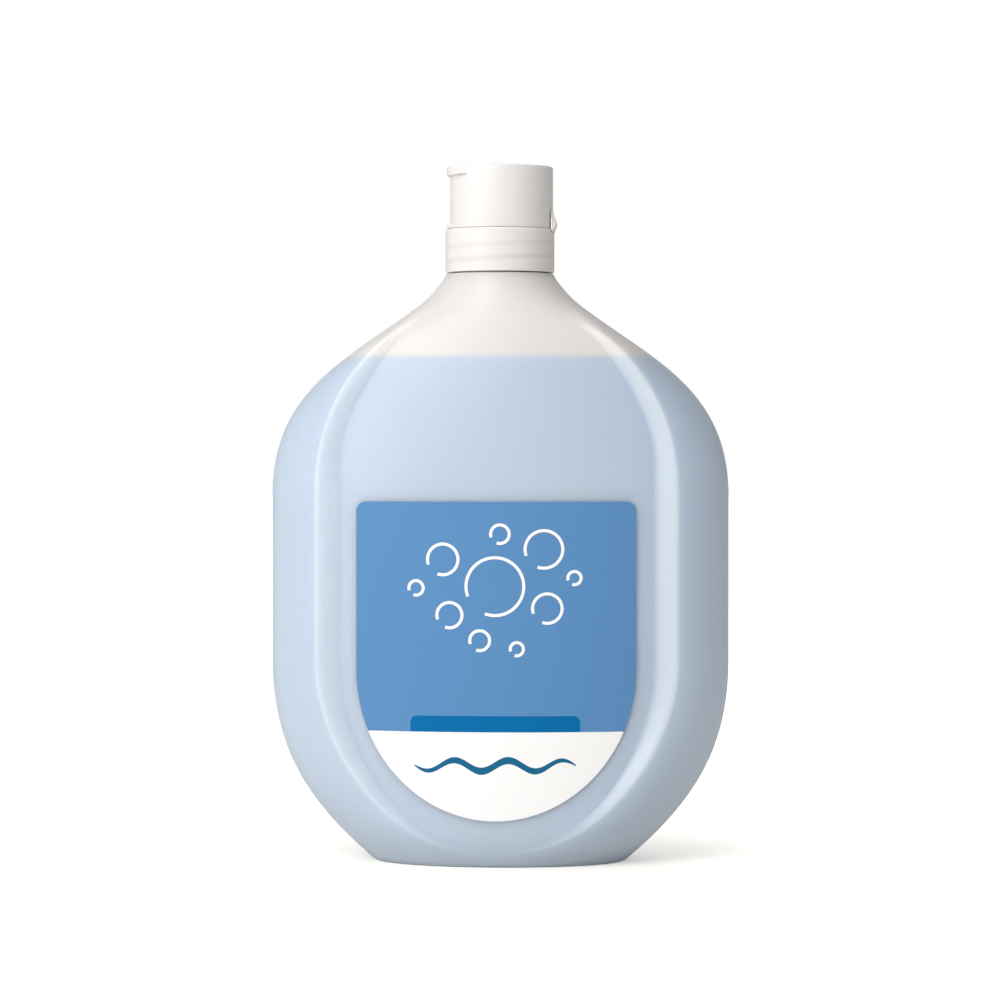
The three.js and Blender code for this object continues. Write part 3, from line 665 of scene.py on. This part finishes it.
# Cap base
# One side of a translucent moulding, turned about the bottle's axis: a skirt with a thread inside,
# a deck over the bottle's rim, a plug that reaches into its bore, and a spout on top.
SKIRT_RADIUS = 16.5
SKIRT_BORE = SKIRT_RADIUS - 2.1
SKIRT_BOTTOM = 178.05
DECK_BOTTOM = 189.7
DECK_TOP = 191.1
SPOUT_TOP = 197.5
SPOUT_FOOT_RADIUS = 6.25
SPOUT_TOP_RADIUS = 5.45
SPOUT_BORE = 4.6
PLUG_RADIUS = 10.2
PLUG_BORE = PLUG_RADIUS - 1.1
PLUG_BOTTOM = DECK_BOTTOM - 2.6
CAP_THREAD_CREST = 12.95
THREAD_MIDDLE = 183.1
BANDS_TALL = 11
BANDS_SHADE = 0.09
CAP_COLOUR = 237, 234, 233
HINGE_FOOT = 190.3
HINGE_TOP = 196.6
HINGE_HALF_WIDTH = 5
HINGE_CLEARANCE = 0.3
HINGE_POCKET = 0.8
CUTTER_REACH = 2


def turned_piece(name, corners, rounding):
    """A wire of (radius, height) corners, rounded away from the axis and spun once round it."""
    select_none()
    bpy.ops.mesh.primitive_circle_add(vertices=len(corners))
    piece = name_new(name)
    for point, (radius, z) in zip(piece.data.vertices, corners):
        point.co = (radius * MM, 0, z * MM)
        point.select = radius > 0
    for edge in piece.data.edges:
        edge.select = all(piece.data.vertices[index].select for index in edge.vertices)
    bpy.ops.object.mode_set(mode="EDIT")
    bpy.ops.mesh.bevel(offset=rounding * MM, segments=3, affect="VERTICES")
    bpy.ops.mesh.select_all(action="SELECT")
    bpy.ops.mesh.spin(steps=STEPS_PER_TURN, angle=2 * math.pi, center=(0, 0, 0), axis=(0, 0, 1))
    bpy.ops.mesh.select_all(action="SELECT")
    bpy.ops.mesh.remove_doubles(threshold=2e-6)
    bpy.ops.mesh.delete_loose()
    bpy.ops.mesh.select_all(action="SELECT")
    bpy.ops.mesh.normals_make_consistent(inside=False)
    bpy.ops.object.mode_set(mode="OBJECT")
    return piece


def cut_away(piece, cutter):
    select_only(piece)
    cut = piece.modifiers.new("cut", "BOOLEAN")
    cut.operation = "DIFFERENCE"
    cut.solver = "EXACT"
    cut.object = cutter
    bpy.ops.object.modifier_apply(modifier="cut")
    bpy.data.objects.remove(cutter)


def box_piece(name, low, high, cuts=0):
    """A box between two corners, each face cut up evenly."""
    select_none()
    bpy.ops.mesh.primitive_cube_add(size=1)
    piece = name_new(name)
    if cuts:
        bpy.ops.object.mode_set(mode="EDIT")
        bpy.ops.mesh.select_all(action="SELECT")
        bpy.ops.mesh.subdivide(number_cuts=cuts)
        bpy.ops.object.mode_set(mode="OBJECT")
    for point in piece.data.vertices:
        point.co = [(a + (b - a) * (c + 0.5)) * MM for a, b, c in zip(low, high, point.co)]
    return piece


def hinge_pocket(radius):
    wide = HINGE_HALF_WIDTH + HINGE_CLEARANCE
    return box_piece("hinge_pocket", (radius - HINGE_POCKET, -wide, HINGE_FOOT - HINGE_CLEARANCE),
                     (radius + CUTTER_REACH, wide, HINGE_TOP + HINGE_CLEARANCE))


def cap_plastic():
    """Milky plastic with faint bands of painted shade where the thread inside the skirt would show through.
    """
    made, nodes, links, shader = new_material(
        "cap_plastic", 0.36, Subsurface_Weight=1, Subsurface_Scale=0.0008)
    shader.inputs["Subsurface Radius"].default_value = (1, 0.97, 0.95)
    place = own_place(nodes, links)
    # Painted shade: faint helical bands darken the cap's colour where the thread inside the skirt lies.
    turn = add_math(nodes, links, "ARCTAN2", place["Y"], place["X"])
    height = add_math(nodes, links, "MULTIPLY_ADD", place["Z"], 1 / MM, -THREAD_MIDDLE)
    climb = add_math(nodes, links, "MULTIPLY_ADD", height, 2 * math.pi / THREAD_LEAD,
                     add_math(nodes, links, "MULTIPLY", turn, -1.0))
    ridges = add_math(nodes, links, "MAXIMUM", add_math(nodes, links, "COSINE", climb), 0.0)
    reach = add_math(nodes, links, "ABSOLUTE", height)
    reach = add_math(nodes, links, "MULTIPLY", reach, math.pi / BANDS_TALL)
    reach = add_math(nodes, links, "MINIMUM", reach, math.pi / 2)
    near = add_math(nodes, links, "MAXIMUM", add_math(nodes, links, "COSINE", reach), 0.0)
    painted_thread_shade = add_math(nodes, links, "MULTIPLY", ridges, near)
    shade = add_math(nodes, links, "MULTIPLY_ADD", painted_thread_shade, -BANDS_SHADE, 1.0)
    colour = scale_colour(nodes, links, linear(*CAP_COLOUR)[:3], shade)
    dress(nodes, links, shader, colour, blotches=0.02, grain=500, depth=0.000006)
    return made


CAP_PLASTIC = cap_plastic()


def finish_moulding(piece):
    """Smooths the piece up to its sharp edges and puts the cap's plastic on it."""
    select_only(piece)
    bpy.ops.object.shade_smooth_by_angle(angle=math.radians(38))
    piece.data.materials.clear()
    piece.data.materials.append(CAP_PLASTIC)


cap_base = turned_piece("cap_base_moulding", (
    (SKIRT_RADIUS, SKIRT_BOTTOM),
    (SKIRT_RADIUS, HINGE_FOOT - HINGE_CLEARANCE),
    (SKIRT_RADIUS, DECK_TOP),
    (SPOUT_FOOT_RADIUS, DECK_TOP),
    (SPOUT_TOP_RADIUS, SPOUT_TOP),
    (SPOUT_BORE, SPOUT_TOP),
    (SPOUT_BORE, DECK_BOTTOM),
    (PLUG_BORE, DECK_BOTTOM),
    (PLUG_BORE, PLUG_BOTTOM),
    (PLUG_RADIUS, PLUG_BOTTOM),
    (PLUG_RADIUS, DECK_BOTTOM),
    (SKIRT_BORE, DECK_BOTTOM),
    (SKIRT_BORE, SKIRT_BOTTOM),
), rounding=0.3)
cut_away(cap_base, hinge_pocket(SKIRT_RADIUS))
cap_thread = screw_thread("cap_thread", SKIRT_BORE, CAP_THREAD_CREST,
                          start_angle=-math.pi, turns=1.25, lift=THREAD_LEAD / 2)
cap_base = join(cap_base, cap_thread)
finish_moulding(cap_base)
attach(cap_base, "cap")
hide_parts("cap_base")

# Lid
# The moulding's other side: a flat-topped lid with a tube inside that seals on the spout, and a
# shallow recess round its front, with round lower corners, for the thumb that opens it.
LID_RADIUS = 16.1
LID_BORE = LID_RADIUS - 2.1
LID_BOTTOM = 191.2
CAP_TOP = 210
LID_UNDERSIDE = 208.5
TUBE_RADIUS = 7.65
TUBE_BORE = TUBE_RADIUS - 1.1
TUBE_FOOT = 195.6
TUBE_BEAD = 0.3
TUBE_BEAD_TOP = TUBE_FOOT + 2.1
RECESS_LOW = 192.3
RECESS_HIGH = 207.4
RECESS_DEPTH = 1.05
RECESS_HALF_ANGLE = math.radians(53.5)
RECESS_CORNER = 3


def thumb_recess():
    """The cutter for the recess: a box bent round the lid's axis, with round lower corners."""
    piece = box_piece("thumb_recess", (0, 0, 0), (1, 1, 1), cuts=40)
    for point in piece.data.vertices:
        out, along, up = point.co / MM
        swing = RECESS_HALF_ANGLE * -math.cos(math.pi * along)
        short = max(0, RECESS_CORNER - (RECESS_HALF_ANGLE - abs(swing)) * LID_RADIUS)
        low = RECESS_LOW + RECESS_CORNER - math.sqrt(RECESS_CORNER**2 - short**2)
        radius = LID_RADIUS - RECESS_DEPTH + out * CUTTER_REACH
        angle = math.pi + swing
        z = low + (RECESS_HIGH - low) * up
        point.co = Vector((radius * math.cos(angle), radius * math.sin(angle), z)) * MM
    return piece


cap_lid = turned_piece("cap_lid_moulding", (
    (0, LID_UNDERSIDE),
    (TUBE_BORE, LID_UNDERSIDE),
    (TUBE_BORE, TUBE_FOOT),
    (TUBE_RADIUS + TUBE_BEAD, TUBE_FOOT),
    (TUBE_RADIUS + TUBE_BEAD, TUBE_BEAD_TOP),
    (TUBE_RADIUS, TUBE_BEAD_TOP + TUBE_BEAD),
    (TUBE_RADIUS, LID_UNDERSIDE),
    (LID_BORE, LID_UNDERSIDE),
    (LID_BORE, LID_BOTTOM),
    (LID_RADIUS, LID_BOTTOM),
    (LID_RADIUS, HINGE_TOP + HINGE_CLEARANCE),
    (LID_RADIUS, CAP_TOP),
    (0, CAP_TOP),
), rounding=0.4)
cut_away(cap_lid, thumb_recess())
cut_away(cap_lid, hinge_pocket(LID_RADIUS))
finish_moulding(cap_lid)
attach(cap_lid, "lid")
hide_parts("cap_lid")

# Hinge strap
# A thin flat strap of the same moulding, bowed outwards between the base and the lid.
HINGE_HEIGHT = 192.8
HINGE_REACH = 17.15
STRAP_SINK = 0.5
hinge_strap = box_piece("hinge_strap_moulding", (0, -HINGE_HALF_WIDTH, 0), (1, HINGE_HALF_WIDTH, 1), cuts=15)
for point in hinge_strap.data.vertices:
    out, across, up = point.co / MM
    z = HINGE_FOOT + (HINGE_TOP - HINGE_FOOT) * up
    rise = smoothstep(z, HINGE_FOOT, HINGE_HEIGHT)
    fall = smoothstep(z, HINGE_HEIGHT, HINGE_TOP)
    outer = SKIRT_RADIUS + (HINGE_REACH - SKIRT_RADIUS) * rise - (HINGE_REACH - LID_RADIUS) * fall
    inner = SKIRT_RADIUS - STRAP_SINK - (SKIRT_RADIUS - LID_RADIUS) * fall
    point.co = Vector((inner + (outer - inner) * out, across, z)) * MM
finish_moulding(hinge_strap)
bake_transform(hinge_strap)
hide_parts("hinge_strap")

# Seal ring
# A flat ring of white foam between the bottle's rim and the cap's deck, out of sight when closed.
made, nodes, links, shader = new_material("seal_foam", 0.8)
dress(nodes, links, shader, linear(240, 240, 238), blotches=0.04, grain=2500, depth=0.00003)
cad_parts["cap_seal_ring"].data.materials[0] = made

# Floor, lamps and camera
# A white studio sweep: the floor glows white to the camera and keeps a soft shadow near the bottle, which its
# glow hides farther out. It also glows faintly onto the bottle from below, a painted bounce light. One tall
# lamp stands at the front left and a wide one above it. Two weak ones lift the right shoulder and the back.
CAMERA_TURN = math.radians(3)
CAMERA_DISTANCE = 1.1
CAMERA_HEIGHT = 0.13
bpy.context.scene.view_settings.view_transform = "Standard"
select_none()
bpy.ops.mesh.primitive_plane_add(size=12)
floor = bpy.context.object
floor.name = "floor"
made, nodes, links, shader = new_material("floor", 0.9, Specular_IOR_Level=0)
shader.inputs["Base Color"].default_value = (0.8, 0.755, 0.69, 1)
seen = nodes.new("ShaderNodeLightPath")
shader.inputs["Emission Color"].default_value = (1, 1, 1, 1)
place = nodes.new("ShaderNodeTexCoord")
far = nodes.new("ShaderNodeVectorMath")
far.operation = "LENGTH"
links.new(place.outputs["Object"], far.inputs[0])
# Painted light: the floor's glow is weakest near the bottle, so the lamps' shadow shows there, and is full
# farther out, where it hides the shadow.
glow = nodes.new("ShaderNodeMapRange")
glow.interpolation_type = "SMOOTHSTEP"
glow.inputs["From Min"].default_value = 0.03
glow.inputs["From Max"].default_value = 0.16
glow.inputs["To Min"].default_value = 0.42
glow.inputs["To Max"].default_value = 1
links.new(far.outputs["Value"], glow.inputs["Value"])
# The glow is full to the camera and 0.15 to everything else, where it lights the bottle from below as painted
# bounce light.
bounce = add_math(nodes, links, "MULTIPLY_ADD", seen.outputs["Is Camera Ray"], 0.85, 0.15)
links.new(add_math(nodes, links, "MULTIPLY", bounce, glow.outputs[0]), shader.inputs["Emission Strength"])
floor.data.materials.append(made)

world = bpy.data.worlds.new("studio")
bpy.context.scene.world = world
world.use_nodes = True
nodes, links = world.node_tree.nodes, world.node_tree.links
seen = nodes.new("ShaderNodeLightPath")
white = add_math(nodes, links, "MAXIMUM", seen.outputs["Is Camera Ray"], seen.outputs["Is Transmission Ray"])
way = nodes.new("ShaderNodeTexCoord")
split = nodes.new("ShaderNodeSeparateXYZ")
links.new(way.outputs["Generated"], split.inputs[0])
studio = add_math(nodes, links, "MULTIPLY_ADD", split.outputs["X"], -0.1, 0.35)
strength = nodes.new("ShaderNodeMix")
links.new(white, strength.inputs[0])
links.new(studio, strength.inputs[2])
strength.inputs[3].default_value = 1
links.new(strength.outputs[0], nodes["Background"].inputs["Strength"])
nodes["Background"].inputs["Color"].default_value = (1, 1, 1, 1)


def area_lamp(name, azimuth, elevation, distance, width, height, power):
    """A lamp that faces the middle of the bottle. Azimuth 0 is in front, and grows to the right."""
    turn = math.radians(azimuth)
    rise = math.radians(elevation)
    aim = Vector((0, 0, 0.1))
    way = Vector((math.sin(turn) * math.cos(rise), -math.cos(turn) * math.cos(rise), math.sin(rise)))
    data = bpy.data.lights.new(name, "AREA")
    data.shape = "RECTANGLE"
    data.size = width
    data.size_y = height
    data.energy = power
    lamp = bpy.data.objects.new(name, data)
    bpy.context.scene.collection.objects.link(lamp)
    lamp.location = aim + way * distance
    lamp.rotation_euler = way.to_track_quat("Z", "Y").to_euler()


area_lamp("key_lamp", azimuth=-42, elevation=20, distance=1.2, width=0.3, height=0.9, power=5.2)
area_lamp("front_lamp", azimuth=-20, elevation=36, distance=1.6, width=0.8, height=0.8, power=8.8)
area_lamp("right_lamp", azimuth=58, elevation=56, distance=1.4, width=0.5, height=0.5, power=1.3)
area_lamp("back_lamp", azimuth=180, elevation=42, distance=1.6, width=0.8, height=0.8, power=2.4)

camera_data = bpy.data.cameras.new("camera")
camera = bpy.data.objects.new("camera", camera_data)
bpy.context.scene.collection.objects.link(camera)
bpy.context.scene.camera = camera
camera_data.lens = 130.4
camera_data.sensor_width = 36
camera_data.shift_y = -0.069
camera_data.clip_start = 0.05
camera.location = (CAMERA_DISTANCE * math.sin(CAMERA_TURN), -CAMERA_DISTANCE * math.cos(CAMERA_TURN),
                   CAMERA_HEIGHT)
camera.rotation_euler = (math.pi / 2, 0, CAMERA_TURN)
